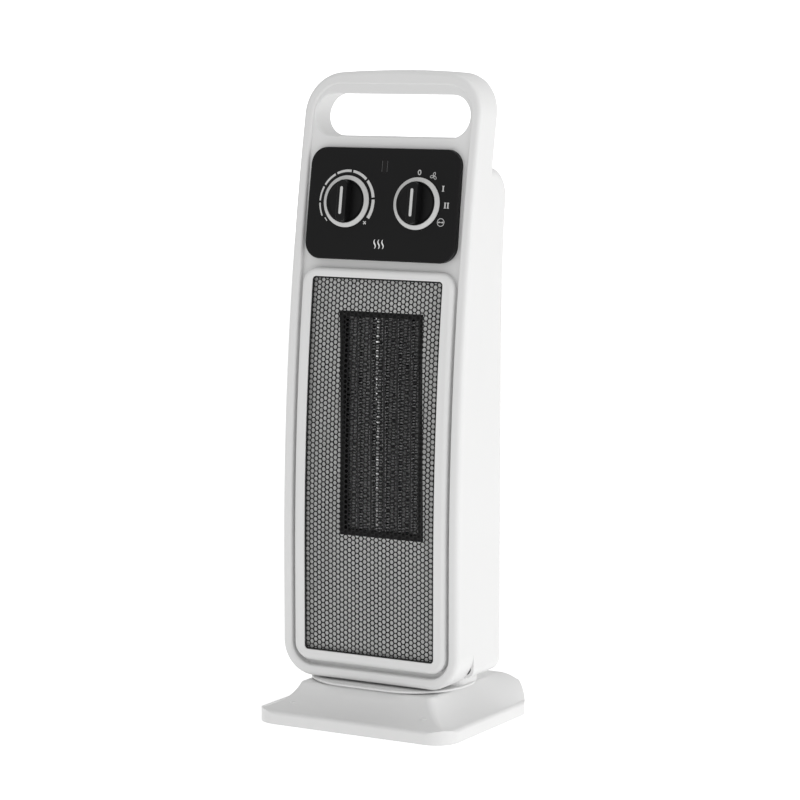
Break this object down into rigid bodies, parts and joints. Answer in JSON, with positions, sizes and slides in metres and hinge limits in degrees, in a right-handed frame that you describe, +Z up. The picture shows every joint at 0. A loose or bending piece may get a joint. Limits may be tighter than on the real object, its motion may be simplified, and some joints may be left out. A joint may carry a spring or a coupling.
{
  "type": "ceramic space heater",
  "caption": "Oscillating ceramic tower heater with a carrying handle, two rotary controls, a perforated outlet guard and a swivelling foot on a wide base.",
  "frame": {"origin": "centre of the base's underside, on the floor under the rubber feet", "axes": "+Z up along the tower, -Y out of the front, +X to the viewer's right"},
  "size_m": [0.1788, 0.146, 0.522],
  "materials": {
    "shell_white": "satin moulded ABS",
    "panel_black": "satin black moulding",
    "knob_black": "fine matt moulding",
    "trim_silver": "satin silver paint",
    "pointer_grey": "pale insert",
    "guard_black": "black powder coat",
    "duct_white": "heat-resistant moulding",
    "frame_black": "glass-filled moulding",
    "fin_aluminium": "mill finish foil",
    "bar_aluminium": "dull flat tube",
    "steel": "zinc plated",
    "stack_steel": "laminated sheet",
    "coil_copper": "enamelled copper winding under tape",
    "brass": "plain",
    "rubber_black": "moulded rubber",
    "rubber_grey": "moulded rubber",
    "slip_white": "low-friction acetal",
    "lens_smoked": "smoked clear plastic",
    "lamp_amber": "neon glow lamp",
    "control_grey": "phenolic moulding",
    "wire_grey": "sleeved wires",
    "wheel_black": "moulded blower wheel"
  },
  "bodies": {
    "base": {"base_shell": "shell_white", "base_plate": "shell_white", "rubber_feet": "rubber_grey", "base_screws": "steel", "cord_gland": "rubber_black", "bearing_ring": "slip_white", "oscillation_motor": "steel", "motor_mount_screws": "steel", "tilt_switch_housing": "control_grey", "tilt_microswitch": "control_grey", "tilt_spring": "steel"},
    "crank": {"oscillation_crank": "slip_white", "crank_roller": "slip_white"},
    "tip_button": {"tilt_plunger": "control_grey"},
    "tower": {"swivel_skirt": "shell_white", "skirt_screws": "steel", "retaining_ring": "steel", "retaining_screws": "steel", "swing_arm": "steel", "front_shell": "shell_white", "rear_shell": "shell_white", "body_screws": "steel", "control_panel": "panel_black", "pilot_lens": "lens_smoked", "pilot_lamp": "lamp_amber", "thermostat_unit": "control_grey", "mode_switch": "control_grey", "grille_bezel": "shell_white", "front_grille": "guard_black", "outlet_duct": "duct_white", "heater_frame": "frame_black", "heater_fins": "fin_aluminium", "heater_bars": "bar_aluminium", "heater_terminals": "brass", "thermal_cutout": "steel", "thermal_fuse": "wire_grey", "blower_scroll": "steel", "bearing_grommet": "rubber_black", "top_bearing": "brass", "motor_stator": "stack_steel", "motor_coil": "coil_copper", "motor_brackets": "steel", "motor_spacers": "steel", "motor_screws": "steel", "terminal_block": "control_grey", "wiring_loom": "wire_grey"},
    "fan": {"impeller": "wheel_black", "fan_shaft": "steel", "motor_rotor": "stack_steel"},
    "heat_control": {"thermostat_knob": "knob_black", "thermostat_ring": "trim_silver", "thermostat_pointer": "pointer_grey", "thermostat_shaft": "steel"},
    "mode_control": {"mode_knob": "knob_black", "mode_ring": "trim_silver", "mode_pointer": "pointer_grey", "mode_shaft": "steel"}
  },
  "joints": [
    {"name": "tower_swing", "type": "hinge", "parent": "base", "child": "tower", "pos_m": [0, 0, 0.034], "axis": [0, 0, 1], "range_deg": [-35, 35]},
    {"name": "crank_turn", "type": "hinge", "parent": "base", "child": "crank", "pos_m": [0.036, 0, 0.018], "axis": [0, 0, 1], "range_deg": [-37, 37]},
    {"name": "tip_button_slide", "type": "slide", "parent": "base", "child": "tip_button", "axis": [0, 0, 1], "range_m": [-0.004, 0], "stiffness_N_per_m": 60, "springref_m": -0.006, "deforming": ["tilt_spring"]},
    {"name": "fan_spin", "type": "hinge", "parent": "tower", "child": "fan", "pos_m": [0, 0.012, 0.24], "axis": [0, 0, 1], "continuous": true},
    {"name": "thermostat_turn", "type": "hinge", "parent": "tower", "child": "heat_control", "pos_m": [-0.032, -0.01868, 0.41868], "axis": [0, -0.9874, 0.1585], "range_deg": [-130, 130]},
    {"name": "mode_turn", "type": "hinge", "parent": "tower", "child": "mode_control", "pos_m": [0.032, -0.01868, 0.41868], "axis": [0, -0.9874, 0.1585], "range_deg": [-124, 0]}
  ],
  "couplings": [
    {"joint": "crank_turn", "follows": "tower_swing", "ratio": -1.05}
  ]
}
